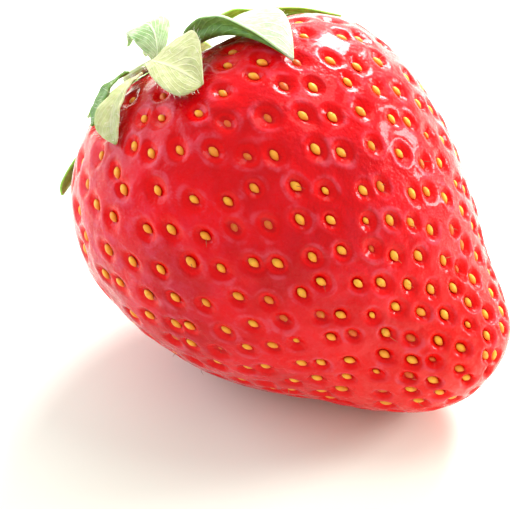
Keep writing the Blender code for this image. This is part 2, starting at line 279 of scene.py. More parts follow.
# Painted sheen on the pits' rims
RIM_SPAN = (0.3, 1.2, 0.0, 0.36)
BOWL_SPAN = (0.06, 0.28, 0.0, 0.94)
# Painted shade in the crevices
CREVICE_SPAN = (0.3, 0.95, 0.0, 0.5)
PATCH_NOISE = (150, 4)  # (waves to the metre, detail)
STREAK_NOISE = (620, 4, 0.65)  # with its roughness
SKIN_ROUGHNESS_SPAN = (0.3, 0.7, 0.18, 0.32)
SKIN_COAT_SPAN = (0.1, 0.7, 0.48, 0.5)

# Leaf ribs and greens
MIDRIB_SPAN = (0.05, 0.0)
VEIN_SLANT = 0.9
VEIN_WANDER = 0.12
WANDER_NOISE = (500, 2)
VEIN_WAVES = 60
VEIN_SPAN = (0.72, 1.0, 0.0, 0.7)
RIB_RELIEF = 1.5
GREEN_SPAN = (0.35, 0.7)
RIB_SPAN = (0.0, 1.0, 0.0, 0.75)
EDGE_SPAN = (0.455, 0.5, 0.0, 0.6)

# Seed golds in the order that they are laid over GOLD, and the (dark, pale) colours of threads and hairs
GOLD = (0.86, 0.42, 0.035)
ORANGE = (0.80, 0.17, 0.015)
STRAW = (0.74, 0.46, 0.06)
AMBER = (0.78, 0.24, 0.02)
RUST = (0.62, 0.07, 0.015)
SPECKS = (0.60, 0.26, 0.03)
SEED_LAYERS = (
    ("along", (0.35, 1.0, 0.0, 1.0), ORANGE),
    ("along", (0.3, 0.0, 0.0, 0.5), STRAW),
    ("ripe", (0.40, 0.75, 0.0, 0.6), AMBER),
    ("ripe", (0.80, 0.92, 0.0, 0.85), RUST),
    ("specks", (0.45, 0.75, 0.0, 0.6), SPECKS),
)
PATCHY_SPAN = (0.35, 0.65)  # of the noise, over which dark turns pale
STYLE_BROWNS = ((0.10, 0.035, 0.02), (0.42, 0.20, 0.06))
HAIR_TONES = ((0.62, 0.66, 0.48), (0.90, 0.90, 0.82))

# Grain over each surface: (coarse waves to the metre, fine waves to the metre, bump strength, bump height)
SKIN_GRAIN = (800, 2600, 0.6, 0.00014)
SEED_GRAIN = (2200, 6000, 0.35, 0.00004)
THREAD_GRAIN = (700, 3000, 0.3, 0.00002)
LEAF_GRAIN = (1100, 3600, 0.5, 0.00008)
PLANT_SKIN_GRAIN = (1300, 4200, 0.5, 0.00008)

# Finishes that are the same all over a surface
SKIN_FINISH = {
    "Subsurface Weight": 0.12,
    "Subsurface Radius": (1.0, 0.08, 0.06),
    "Subsurface Scale": 0.0008,
    "Specular IOR Level": 0.06,
    "Coat IOR": 1.26,
    "Coat Roughness": 0.07,
}
SEED_FINISH = {"Roughness": 0.42, "Specular IOR Level": 0.25}
LEAF_FINISH = {"Subsurface Weight": 0.5, "Subsurface Radius": (0.5, 1.0, 0.2), "Subsurface Scale": 0.0006}
DRY_FINISH = {"Roughness": 0.6}
FLOOR_FINISH = {"Roughness": 0.55}


# --- The berry's shape ---------------------------------------------------------------------------

def ring_rows():
    """The rings with one more past each end, so that the curve closes square to the axis."""
    rows = np.array(RINGS, float)
    before = rows[1] * (1, -1, 1, 1)
    after = rows[-2] * (1, -1, 1, 1)
    return np.vstack([before, rows, after])


ROWS = ring_rows()


def between(before, start, end, after, share):
    """Points at these shares of the way from start to end, on a smooth curve through all four."""
    share = share[..., None]
    square = share * share
    cube = square * share
    return (
        start * (2 * cube - 3 * square + 1)
        + end * (3 * square - 2 * cube)
        + (end - before) / 2 * (cube - 2 * square + share)
        + (after - start) / 2 * (cube - square)
    )


def along_curve(rows, place):
    """Points on the smooth curve through the rows, where the second row is place 0."""
    place = np.clip(np.asarray(place, float), 0, len(rows) - 3)
    index = np.minimum(place.astype(int), len(rows) - 4)
    return between(rows[index], rows[index + 1], rows[index + 2], rows[index + 3], place - index)


def skin_points(place, turn):
    """Points on the smooth skin, in millimetres on the berry's own axes."""
    place, turn = np.broadcast_arrays(np.asarray(place, float), np.asarray(turn, float))
    distance, radius, hang, lean = np.moveaxis(along_curve(ROWS, place), -1, 0)
    lobes = sum(share * np.cos(waves * turn + phase) for waves, share, phase in LOBES)
    radius = radius * (1 + lobes)
    distance = distance + lean * radius * np.cos(turn - LEAN_TURN)
    return np.stack([distance, radius * np.sin(turn), radius * np.cos(turn) - hang], -1)


def unit(vectors):
    return vectors / np.maximum(np.linalg.norm(vectors, axis=-1, keepdims=True), 1e-12)


def skin_frames(place, turn):
    """(onward, sideways, outward) unit vectors on the skin."""
    step = 0.01
    inside = np.clip(place, step, LAST_RING - step)
    onward = unit(skin_points(inside + step, turn) - skin_points(inside - step, turn))
    round_axis = unit(skin_points(inside, turn + step) - skin_points(inside, turn - step))
    outward = unit(np.cross(onward, round_axis))
    return onward, np.cross(outward, onward), outward


def skin_lengths():
    """Ring places from the stalk end to the tip, and how far each lies from the stalk end over the skin."""
    places = np.linspace(0, LAST_RING, 3001)
    rows = along_curve(ROWS, places)
    steps = np.hypot(np.diff(rows[:, 0]), np.diff(rows[:, 1]))
    return places, np.concatenate([[0.0], np.cumsum(steps)])


SKIN_PLACES, SKIN_LENGTHS = skin_lengths()


def place_at(length):
    """The ring place this far over the skin from the stalk end."""
    return np.interp(length, SKIN_LENGTHS, SKIN_PLACES)


def own_box():
    """The tilted smooth berry's corners, in millimetres round its own stalk end."""
    place, turn = np.meshgrid(np.linspace(0, LAST_RING, 300), np.linspace(0, math.tau, 240))
    points = skin_points(place.ravel(), turn.ravel()) @ TILT.T
    return points.min(0), points.max(0)


TILT = np.array(Matrix.Rotation(NOSE_DOWN, 3, "Y"))
OWN_LOW, OWN_HIGH = own_box()
CAD_LOW, CAD_HIGH = (np.array(corner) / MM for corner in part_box("berry"))
PLACE = (CAD_LOW + CAD_HIGH - OWN_LOW - OWN_HIGH) / 2
PLACE[2] = -OWN_LOW[2] - FLATTENED


def to_world(points):
    """World positions, in metres, of points in millimetres on the berry's own axes."""
    return (np.asarray(points) @ TILT.T + PLACE) * MM


def pressed(points):
    """World points in metres, pressed flat where the berry lies on the surface under it."""
    level = points[..., 2]
    low = level < PRESSED_SOFT
    level[low] = PRESSED_SOFT * np.exp(level[low] / PRESSED_SOFT - 1)
    return points


# --- Seeds' places -------------------------------------------------------------------------------

def seed_spacing(place):
    """How far apart the seeds are at this ring, in millimetres."""
    return np.interp(place, *zip(*SEED_SPACINGS))


def seed_places():
    """Ring place and turn of every seed: a spiral from the stalk end to the tip, slightly uneven."""
    chance = random.Random(CHANCE_START)
    rows = along_curve(ROWS, SKIN_PLACES)
    cell = seed_spacing(SKIN_PLACES) ** 2 * math.sqrt(3) / 2
    room = np.where(SKIN_LENGTHS > BARE_TOP, math.tau * rows[:, 1] * np.gradient(SKIN_LENGTHS) / cell, 0)
    room = np.cumsum(room)
    found = np.interp(np.arange(int(room[-1])) + 0.5, room, SKIN_PLACES)
    seeds = []
    for number, spot in enumerate(found):
        stray = SEED_STRAY * float(seed_spacing(spot))
        radius = float(along_curve(ROWS, spot)[1])
        spot += chance.gauss(0, stray) / RING_SPACING
        turn = number * GOLDEN_TURN + chance.gauss(0, stray) / max(radius, 2.0)
        seeds.append((min(max(spot, SEED_ENDS[0]), LAST_RING - SEED_ENDS[1]), turn % math.tau))
    return np.array(seeds)


SEEDS = seed_places()
SEED_POINTS = skin_points(SEEDS[:, 0], SEEDS[:, 1])
SEED_FRAMES = skin_frames(SEEDS[:, 0], SEEDS[:, 1])


def seed_traits():
    """For each seed: its pit's radius and depth, its own size, how ripe it looks and how it is twisted."""
    chance = random.Random(CHANCE_START + 1)
    traits = []
    for place in SEEDS[:, 0]:
        traits.append((
            BOWL_SHARE * float(seed_spacing(place)) * chance.uniform(*PIT_SIZES),
            chance.uniform(*PIT_DEPTHS),
            chance.uniform(*(SEED_SIZES if chance.random() > SMALL_SEEDS else SMALL_SEED_SIZES)),
            chance.random(),
            chance.uniform(-SEED_TWIST, SEED_TWIST),
        ))
    return np.array(traits)


TRAITS = seed_traits()


def nearest_seeds(points, count):
    """The numbers of the seeds nearest to each point, in no order."""
    own = (SEED_POINTS ** 2).sum(-1)
    found = []
    for some in np.array_split(points, 20):
        apart = own - 2 * some @ SEED_POINTS.T
        found.append(np.argpartition(apart, count, axis=1)[:, :count])
    return np.concatenate(found)


def smooth_step(low, high, value):
    share = np.clip((value - low) / (high - low), 0, 1)
    return share * share * (3 - 2 * share)


def pit_relief(points, places):
    """Height over the smooth skin, and masks of the bowls, the crevices, the ridges and the pits' rims."""
    near = nearest_seeds(points, 4)
    top = smooth_step(*NEAR_CAP, places)
    tip = smooth_step(*NEAR_TIP, places)
    bowl = np.zeros(len(points))
    wall = np.zeros(len(points))
    rim = np.zeros(len(points))
    crown = np.ones(len(points))
    wobble_share, wobble_size = BOWL_WOBBLE
    wobble = 1 + wobble_share * uneven(points, wobble_size, 5)
    for rank in range(near.shape[1]):
        seed = near[:, rank]
        offset = points - SEED_POINTS[seed]
        size, deep, grain = TRAITS[seed, 0], TRAITS[seed, 1], TRAITS[seed, 2]
        onward = np.einsum("ij,ij->i", offset, SEED_FRAMES[0][seed])
        aside = np.einsum("ij,ij->i", offset, SEED_FRAMES[1][seed])
        long = size * (BOWL_LONG + BOWL_TOP_STRETCH * top)
        around = np.hypot(onward / long, aside / (size * BOWL_WIDE)) * wobble
        edge = np.hypot(onward / (SEED_LENGTH * grain / 2), aside / (SEED_WIDTH * grain / 2))
        dip = (np.cos(np.clip(around, 0, 1) * math.pi) / 2 + 0.5) ** BOWL_ROUNDING
        bowl = np.maximum(bowl, dip * deep)
        wall = np.maximum(wall, smooth_step(1.75, 1.10, edge))
        rim = np.maximum(rim, np.exp(-((around - RIM_PLACE) / RIM_SPREAD) ** 2) * deep)
        crown = np.minimum(crown, smooth_step(0.8, 1.3, around))
    bowl = np.clip(bowl, 0, 1.2)
    broken = np.clip(0.8 + 0.8 * uneven(points, 1.9, 4), 0.05, 1.7)
    rim = rim * (1 - 0.8 * np.clip(bowl * 1.6, 0, 1)) * broken
    depth = BOWL_DEPTH * (1 + TIP_DEEPER * tip) * bowl + WALL_DEPTH * wall
    height = (CUSHION + (TIP_CUSHION - CUSHION) * tip) * crown + RIM_HEIGHT * rim - depth
    return height, bowl, wall, crown, rim


def uneven(points, size, seed):
    """Soft bumps of about this size at these points, mostly from -1 to 1."""
    chance = np.random.default_rng(seed)
    waves = chance.normal(size=(14, 3)) * 2.2 / size
    phases = chance.uniform(0, math.tau, 14)
    return np.cos(points @ waves.T + phases).sum(-1) / 5


# --- Meshes --------------------------------------------------------------------------------------

def new_piece(name, form, materials, slot, *stands_for):
    """A finished piece on the root body, in the place of the named plain solids; the slot is not used."""
    mesh = bpy.data.meshes.new(name)
    form.to_mesh(mesh)
    form.free()
    mesh.shade_smooth()
    for surface in materials:
        mesh.materials.append(surface)
    piece = bpy.data.objects.new(name, mesh)
    bpy.context.scene.collection.objects.link(piece)
    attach(piece, "root")
    if stands_for:
        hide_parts(*stands_for)
    return piece


def add_attribute(piece, name, values):
    layer = piece.data.attributes.new(name, "FLOAT", "POINT")
    layer.data.foreach_set("value", np.asarray(values, np.float32))


def turn_out(form):
    """Makes every face of a closed form look outwards."""
    bmesh.ops.recalc_face_normals(form, faces=form.faces)
    if form.calc_volume(signed=True) < 0:
        bmesh.ops.reverse_faces(form, faces=form.faces)


def add_berry(surface):
    """A ball with even faces all round, moved onto the skin and pressed in at each seed."""
    form = bmesh.new()
    bmesh.ops.create_cube(form, size=2.0)
    bmesh.ops.subdivide_edges(form, edges=form.edges, cuts=SKIN_CUTS, use_grid_fill=True)
    ball = unit(np.tan(np.array([point.co for point in form.verts]) * math.pi / 4))
    place = LAST_RING * np.arccos(np.clip(ball[:, 2], -1, 1)) / math.pi
    turn = np.arctan2(ball[:, 1], ball[:, 0])
    smooth = skin_points(place, turn)
    outward = skin_frames(place, turn)[2]
    height, bowl, wall, crown, rim = pit_relief(smooth, place)
    height += sum(rise * uneven(smooth, size, number) for number, (rise, size) in enumerate(SKIN_WAVES, 1))
    points = pressed(to_world(smooth + outward * height[:, None]))
    for point, co in zip(form.verts, points):
        point.co = co
    turn_out(form)
    piece = new_piece("berry_flesh", form, [surface], "berry_skin", "berry")
    add_attribute(piece, "bowl", bowl)
    # Besides the relief, the crevice mask places painted shade and the rim mask painted sheen in the skin's
    # colour
    add_attribute(piece, "crevice", wall)
    add_attribute(piece, "ridge", crown)
    add_attribute(piece, "rim", rim)
    add_attribute(piece, "tipward", np.clip(place / LAST_RING, 0, 1))


def ball_copies(around, along, count):
    """A form with this many copies of one ball, and the ball's own points."""
    ball = bmesh.new()
    bmesh.ops.create_uvsphere(ball, u_segments=around, v_segments=along, radius=1.0)
    turn_out(ball)
    points = np.array([point.co for point in ball.verts])
    one = bpy.data.meshes.new("ball")
    ball.to_mesh(one)
    ball.free()
    form = bmesh.new()
    for _ in range(count):
        form.from_mesh(one)
    bpy.data.meshes.remove(one)
    return form, points


def move_points(form, places):
    for point, co in zip(form.verts, places.reshape(-1, 3)):
        point.co = co


def add_seeds(surface):
    """Every seed: an egg with its wide end towards the stalk, sunk into its own pit."""
    form, ball = ball_copies(10, 8, len(SEEDS))
    onward, aside, outward = SEED_FRAMES
    pit_deep, size, ripeness, twist = TRAITS[:, 1:].T
    wide, thick, length = ball.T
    taper = 1 - 0.40 * np.maximum(length, 0) ** 1.5 - 0.12 * np.maximum(-length, 0) ** 2
    shape = np.stack([
        length * SEED_LENGTH / 2,
        wide * taper * SEED_WIDTH / 2,
        thick * (0.5 + 0.5 * taper) * SEED_THICKNESS / 2,
    ])
    sunk = SEED_RISE - BOWL_DEPTH * pit_deep - 1.1 * np.maximum(ripeness - RIPE_SUNK, 0)
    middle = SEED_POINTS + outward * sunk[:, None]
    turned_on = onward * np.cos(twist)[:, None] + aside * np.sin(twist)[:, None]
    turned_aside = aside * np.cos(twist)[:, None] - onward * np.sin(twist)[:, None]
    axes = np.stack([turned_on, turned_aside, outward], 1) * size[:, None, None]
    move_points(form, pressed(to_world(np.einsum("kp,nkx->npx", shape, axes) + middle[:, None])))
    piece = new_piece("seeds", form, [surface], "achene")
    add_attribute(piece, "ripe", np.repeat(ripeness, len(ball)))
    add_attribute(piece, "along", np.tile(length / 2 + 0.5, len(SEEDS)))


def add_threads(name, surface, slot, starts, directions, droops, lengths, radius):
    """Thin bent threads with closed ends, in millimetres on the berry's own axes."""
    form, ball = ball_copies(4, 8, len(starts))
    directions = unit(directions)
    side = unit(np.cross(directions, droops))
    third = np.cross(directions, side)
    share = (ball[:, 2] / 2 + 0.5)[None, :, None]
    lengths = lengths[:, None, None]
    spine = starts[:, None] + directions[:, None] * lengths * share + droops[:, None] * lengths * share ** 2
    width = radius * (1.2 - 0.7 * share)
    spread = side[:, None] * ball[None, :, 0:1] + third[:, None] * ball[None, :, 1:2]
    move_points(form, to_world(spine + spread * width))
    turn_out(form)
    new_piece(name, form, [surface], slot)


def add_styles(surface):
    """The dry threads that are left on some of the seeds."""
    chance = np.random.default_rng(CHANCE_START + 2)
    clear = to_world(SEED_POINTS)[:, 2] > 4 * MM
    kept = clear & (chance.random(len(SEEDS)) < STYLE_SHARE)
    onward, aside, outward = (axis[kept] for axis in SEED_FRAMES)
    on, across, droop_on, droop_across, shift, length = (
        chance.uniform(low, high, (kept.sum(), 1)) for low, high in STYLE_RANGES
    )
    starts = SEED_POINTS[kept] - outward * 0.1 - onward * shift
    directions = outward + onward * on + aside * across
    droops = onward * droop_on + aside * droop_across
    add_threads("styles", surface, "style", starts, directions, droops, length[:, 0], STYLE_RADIUS)


# --- Leafy cap -----------------------------------------------------------------------------------

def cap_up():
    """The way the hub faces, square to the skin at the stalk end."""
    lean = RINGS[0][3]
    return unit(np.array((-1.0, lean * math.sin(LEAN_TURN), lean * math.cos(LEAN_TURN))))


def open_route(route):
    """The route's rows with one more straight past each end."""
    rows = np.array(route, float)
    return np.vstack([2 * rows[0] - rows[1], rows, 2 * rows[-1] - rows[-2]])


def leaf_belly(share, widest):
    """0 at the leaf's two ends and 1 where it is widest."""
    return np.maximum(np.sin(math.pi * share ** (math.log(0.5) / math.log(widest))), 0)


def leaf_half_width(share, width, belly):
    ends = (LEAF_BASE_WIDTH * (1 - share) ** 2 + LEAF_TIP_WIDTH * share) / 2
    return width * belly + ends * (1 - belly)


def ruffle(share, across, number):
    """Gentle waves that grow towards the leaf's edges."""
    waves = np.sin(share * 17 + across * 2 + number * 2.3) + 0.6 * np.sin(share * 31 - across * 3 + number)
    return LEAF_RUFFLE * waves * np.abs(across) ** 1.5 * np.sin(math.pi * np.clip(share, 0, 1)) ** 0.7


def lying_leaf_points(leaf, share, across, number):
    """Points on a leaf over the shoulder, at these shares of its length and -1 to 1 across it."""
    low, high, widest, skew, route = leaf
    width = np.where(across < 0, low[0], high[0])
    rise = np.where(across < 0, low[1], high[1])
    distance, height, turn = np.moveaxis(along_curve(open_route(route), share * (len(route) - 1)), -1, 0)
    belly = leaf_belly(share, widest)
    side = np.abs(across) * leaf_half_width(share, width, belly)
    slope = np.radians(rise) * np.minimum(np.abs(across) / LEAF_BEND, 1)
    place = place_at(distance - skew * across * belly)
    reach = np.sign(across) * side * np.cos(slope) / (along_curve(ROWS, place)[..., 1] + height)
    lift = height + side * np.sin(slope) * np.sqrt(belly) + ruffle(share, across, number)
    turn = np.radians(turn) + reach
    return skin_points(place, turn) + skin_frames(place, turn)[2] * lift[:, None]


def standing_leaf_points(share, across, number):
    """The same on the leaf that stands up from the hub."""
    up = cap_up()
    towards = np.array((0.0, math.sin(STANDING_TURN), math.cos(STANDING_TURN)))
    out = unit(towards - up * towards.dot(up))
    aside = np.cross(up, out)
    rows = along_curve(open_route(STANDING_ROUTE), share * (len(STANDING_ROUTE) - 1))
    belly = leaf_belly(share, STANDING_WIDEST) ** STANDING_TAPER
    shift = rows[:, 2] + across * leaf_half_width(share, STANDING_HALF_WIDTH, belly)
    away = rows[:, 0] + ruffle(share, across, number) - 0.35 * across ** 2 * belly
    return skin_points(0.0, 0.0) + np.outer(away, out) + np.outer(rows[:, 1], up) + np.outer(shift, aside)


def add_leaf(name, points_at, number, outer, inner, slot):
    """A flat sheet, moved onto the leaf's own curved face and thickened outwards."""
    form = bmesh.new()
    form.loops.layers.uv.new("leaf")
    long_cells, cross_cells = LEAF_GRID
    bmesh.ops.create_grid(form, x_segments=long_cells, y_segments=cross_cells, size=0.5, calc_uvs=True)
    flat = np.array([point.co for point in form.verts])
    share = np.clip(flat[:, 0] + 0.5, 0, 1)
    points = points_at(share, flat[:, 1] * 2, number)
    for point, co in zip(form.verts, to_world(points)):
        point.co = co
    middle = Vector(to_world(BERRY_MIDDLE))
    form.normal_update()
    if sum(face.normal.dot(face.calc_center_median() - middle) for face in form.faces) < 0:
        bmesh.ops.reverse_faces(form, faces=form.faces)
    piece = new_piece(name + "_blade", form, [outer, inner], slot, name)
    wall = piece.modifiers.new("wall", "SOLIDIFY")
    wall.thickness = LEAF_THICKNESS * MM
    wall.offset = 1.0
    wall.material_offset = 1


def leaf_shapes():
    """Every leaf's name and the function that gives its points."""
    shapes = {name: functools.partial(lying_leaf_points, leaf) for name, leaf in LEAVES.items()}
    shapes[STANDING_LEAF] = standing_leaf_points
    return shapes


def add_cap():
    """Every leaf, with its own greens outside and inside, some with painted highlight or shade, and the
    greens of the hub and the stalk.
    """
    for number, (name, points_at) in enumerate(leaf_shapes().items()):
        outer_look, inner_look = LEAF_LOOKS[name]
        outer = leaf_material(name + "_outer", *outer_look)
        inner = leaf_material(name + "_inner", *inner_look)
        slot = "sepal" if name.startswith("sepal") else "bract"
        add_leaf(name, points_at, number, outer, inner, slot)
    for name, color in PLANT_SKINS.items():
        paler = tuple(value * 0.6 + 0.25 for value in color)
        skin = patchy_material(name + "_skin", color, paler, PLANT_SKIN_GRAIN)
        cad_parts[name].material_slots[0].material = skin


def add_hairs(surface):
    """Fine pale hairs, most of them along the leaves' edges and some over their outer sides."""
    chance = np.random.default_rng(CHANCE_START + 3)
    starts, directions, droops = [], [], []
    for number, points_at in enumerate(leaf_shapes().values()):
        share = chance.uniform(0.06, 0.97, HAIRS_EACH)
        side = chance.choice((-1.0, 1.0), HAIRS_EACH)
        on_edge = chance.random(HAIRS_EACH) < HAIRS_ON_EDGE
        across = np.where(on_edge, side, chance.uniform(-0.9, 0.9, HAIRS_EACH))
        roots = points_at(share, across, number)
        edgeward = unit(roots - points_at(share, across - 0.08 * side, number))
        tipward = unit(points_at(share + 0.02, across, number) - roots)
        outward = unit(roots - BERRY_MIDDLE)
        spread = chance.normal(0, 0.25, (HAIRS_EACH, 3))
        starts.append(roots + outward * LEAF_THICKNESS / 2)
        directions.append(edgeward * on_edge[:, None] + outward * 0.55 + tipward * 0.2 + spread)
        droops.append(tipward * 0.2)
    starts, directions, droops = (np.concatenate(rows) for rows in (starts, directions, droops))
    lengths = chance.uniform(*HAIR_LENGTHS, len(starts))
    add_threads("leaf_hairs", surface, "leaf_hair", starts, directions, droops, lengths, HAIR_RADIUS)


# --- Materials -----------------------------------------------------------------------------------

def new_material(name, finish):
    """A material with these plain values, its nodes, links, shader and Object coordinates."""
    made = bpy.data.materials.new(name)
    made.use_nodes = True
    nodes = made.node_tree.nodes
    shader = nodes["Principled BSDF"]
    for label, value in finish.items():
        shader.inputs[label].default_value = value
    place = nodes.new("ShaderNodeTexCoord").outputs["Object"]
    return made, nodes, made.node_tree.links, shader, place


def socket_group(name, inputs, outputs):
    """A new shader node group with these named sockets, and its input and output nodes."""
    group = bpy.data.node_groups.new(name, "ShaderNodeTree")
    for label, kind in inputs:
        group.interface.new_socket(label, in_out="INPUT", socket_type=kind)
    for label, kind in outputs:
        group.interface.new_socket(label, in_out="OUTPUT", socket_type=kind)
    return group, group.nodes.new("NodeGroupInput"), group.nodes.new("NodeGroupOutput")


def noise(nodes, links, place, scale, detail=3.0, roughness=0.5):
    made = nodes.new("ShaderNodeTexNoise")
    made.inputs["Scale"].default_value = scale
    made.inputs["Detail"].default_value = detail
    made.inputs["Roughness"].default_value = roughness
    links.new(place, made.inputs["Vector"])
    return made.outputs["Fac"]


def remap(nodes, links, value, start, end, low=0.0, high=1.0):
    """The value's way from start to end, eased, as a value from low to high."""
    made = nodes.new("ShaderNodeMapRange")
    made.interpolation_type = "SMOOTHSTEP"
    made.inputs["From Min"].default_value = start
    made.inputs["From Max"].default_value = end
    made.inputs["To Min"].default_value = low
    made.inputs["To Max"].default_value = high
    links.new(value, made.inputs["Value"])
    return made.outputs["Result"]


def blend(nodes, links, share, start, end):
    """A mix of two colours, where start or end is a socket or a colour."""
    made = nodes.new("ShaderNodeMix")
    made.data_type = "RGBA"
    links.new(share, made.inputs["Factor"])
    for value, socket in ((start, made.inputs["A"]), (end, made.inputs["B"])):
        if isinstance(value, tuple):
            socket.default_value = (*value, 1)
        else:
            links.new(value, socket)
    return made.outputs["Result"]


def math_node(nodes, links, kind, *values):
    """One step of arithmetic on values, each of them a socket or a number."""
    made = nodes.new("ShaderNodeMath")
    made.operation = kind
    for value, socket in zip(values, made.inputs):
        if isinstance(value, (int, float)):
            socket.default_value = value
        else:
            links.new(value, socket)
    return made.outputs["Value"]


def attribute(nodes, name):
    made = nodes.new("ShaderNodeAttribute")
    made.attribute_name = name
    return made.outputs["Fac"]


def fine_grain_group():
    """Fine uneven relief: a height from two sizes of grain, shared by the skin, seeds and leaves."""
    group, given, result = socket_group(
        "fine_grain",
        (("Vector", "NodeSocketVector"), ("Coarse", "NodeSocketFloat"), ("Fine", "NodeSocketFloat")),
        (("Height", "NodeSocketFloat"), ("Patches", "NodeSocketFloat")),
    )
    nodes, links = group.nodes, group.links
    coarse = nodes.new("ShaderNodeTexNoise")
    coarse.inputs["Detail"].default_value = 2
    fine = nodes.new("ShaderNodeTexNoise")
    fine.inputs["Detail"].default_value = 3
    for label, texture in (("Coarse", coarse), ("Fine", fine)):
        links.new(given.outputs["Vector"], texture.inputs["Vector"])
        links.new(given.outputs[label], texture.inputs["Scale"])
    doubled = math_node(nodes, links, "MULTIPLY", coarse.outputs["Fac"], 2.0)
    links.new(math_node(nodes, links, "ADD", doubled, fine.outputs["Fac"]), result.inputs["Height"])
    links.new(coarse.outputs["Fac"], result.inputs["Patches"])
    return group


def add_grain(nodes, links, shader, place, grain, ridges=None):
    """Bumps of this grain over the surface, with any ridges added, and a mask of its patches."""
    coarse, fine, strength, distance = grain
    made = nodes.new("ShaderNodeGroup")
    made.node_tree = FINE_GRAIN
    made.inputs["Coarse"].default_value = coarse
    made.inputs["Fine"].default_value = fine
    links.new(place, made.inputs["Vector"])
    height = made.outputs["Height"]
    if ridges is not None:
        height = math_node(nodes, links, "ADD", height, ridges)
    bump = nodes.new("ShaderNodeBump")
    bump.inputs["Strength"].default_value = strength
    bump.inputs["Distance"].default_value = distance
    links.new(height, bump.inputs["Height"])
    links.new(bump.outputs["Normal"], shader.inputs["Normal"])
    return made.outputs["Patches"]


def flesh_red(nodes, links, patches, tipward, tip_share):
    """The red between the pits: patchy, brighter towards the tip and browner round the cap."""
    red = blend(nodes, links, patches, DARK_RED, RIPE_RED)
    red = blend(nodes, links, tip_share, red, TIP_RED)
    shoulder_share = remap(nodes, links, tipward, *SHOULDER_SPAN)
    return blend(nodes, links, shoulder_share, red, SHOULDER_RED)


def net_sheen_mask(nodes, links, height, tipward, ridge):
    """Where painted pink sheen shows on the net between the pits: low on the stalk end's half, and at the
    tip.
    """
    low = remap(nodes, links, height, *LOW_SPAN)
    low_net = math_node(nodes, links, "MULTIPLY", low, remap(nodes, links, tipward, *STALK_END_NET_SPAN))
    tip_net = remap(nodes, links, tipward, *TIP_NET_SPAN)
    return math_node(nodes, links, "MULTIPLY", ridge, math_node(nodes, links, "MAXIMUM", low_net, tip_net))


def skin_material():
    """Wet red skin with painted pink sheen on a streaky net and on the pits' rims, bright red bowls and
    painted shade in the crevices.
    """
    made, nodes, links, shader, place = new_material("ripe_red_skin", SKIN_FINISH)
    bowl, crevice, ridge, rim, tipward = (
        attribute(nodes, name) for name in ("bowl", "crevice", "ridge", "rim", "tipward")
    )
    split = nodes.new("ShaderNodeSeparateXYZ")
    links.new(place, split.inputs["Vector"])
    patches = remap(nodes, links, noise(nodes, links, place, *PATCH_NOISE), *PATCH_SPAN)
    streaks = remap(nodes, links, noise(nodes, links, place, *STREAK_NOISE), *STREAK_SPAN)
    tip_share = remap(nodes, links, tipward, *TIP_SPAN)

    red = flesh_red(nodes, links, patches, tipward, tip_share)
    # Painted sheen: the net between the pits turns pinker where it is low on the stalk end's half and at
    # the tip
    net = blend(nodes, links, remap(nodes, links, tipward, *NET_TINT_SPAN), NET_SHEEN_PINK, TIP_NET_SHEEN_PINK)
    net_sheen_place = net_sheen_mask(nodes, links, split.outputs["Z"], tipward, ridge)
    red = blend(nodes, links, math_node(nodes, links, "MULTIPLY", net_sheen_place, streaks), red, net)
    # Painted sheen: a broken pink halo on each pit's rim
    rim_sheen_place = remap(nodes, links, rim, *RIM_SPAN)
    red = blend(nodes, links, math_node(nodes, links, "MULTIPLY", rim_sheen_place, streaks), red, RIM_SHEEN_PINK)
    pit_red = blend(nodes, links, tip_share, PIT_RED, TIP_PIT_RED)
    red = blend(nodes, links, remap(nodes, links, bowl, *BOWL_SPAN), red, pit_red)
    # Painted shade: the crevices round the seeds turn dark red
    red = blend(nodes, links, remap(nodes, links, crevice, *CREVICE_SPAN), red, CREVICE_SHADE_RED)
    links.new(red, shader.inputs["Base Color"])

    grain = add_grain(nodes, links, shader, place, SKIN_GRAIN)
    links.new(remap(nodes, links, grain, *SKIN_ROUGHNESS_SPAN), shader.inputs["Roughness"])
    links.new(remap(nodes, links, bowl, *SKIN_COAT_SPAN), shader.inputs["Coat Weight"])
    return made


def seed_material():
    """Gold seeds with an orange tip and a straw base, amber or rust where they are riper."""
    made, nodes, links, shader, place = new_material("golden_seed", SEED_FINISH)
    masks = {"along": attribute(nodes, "along"), "ripe": attribute(nodes, "ripe")}
    masks["specks"] = add_grain(nodes, links, shader, place, SEED_GRAIN)
    gold = GOLD
    for name, span, color in SEED_LAYERS:
        gold = blend(nodes, links, remap(nodes, links, masks[name], *span), gold, color)
    links.new(gold, shader.inputs["Base Color"])
    return made


def patchy_material(name, dark, pale, grain):
    """A dry, fine-grained surface in patches of two colours, for threads, hairs, hub and stalk."""
    made, nodes, links, shader, place = new_material(name, DRY_FINISH)
    patches = add_grain(nodes, links, shader, place, grain)
    color = blend(nodes, links, remap(nodes, links, patches, *PATCHY_SPAN), dark, pale)
    links.new(color, shader.inputs["Base Color"])
    return made


def leaf_ribs(nodes, links, place, onward, aside):
    """A mask of the leaf's midrib and its slanting, slightly wandering side veins."""
    midrib = remap(nodes, links, aside, *MIDRIB_SPAN)
    slant = math_node(nodes, links, "MULTIPLY", aside, VEIN_SLANT)
    wander = math_node(nodes, links, "MULTIPLY", noise(nodes, links, place, *WANDER_NOISE), VEIN_WANDER)
    slanted = math_node(nodes, links, "SUBTRACT", onward, slant)
    bent = math_node(nodes, links, "ADD", slanted, wander)
    waves = math_node(nodes, links, "SINE", math_node(nodes, links, "MULTIPLY", bent, VEIN_WAVES))
    return math_node(nodes, links, "MAXIMUM", midrib, remap(nodes, links, waves, *VEIN_SPAN))


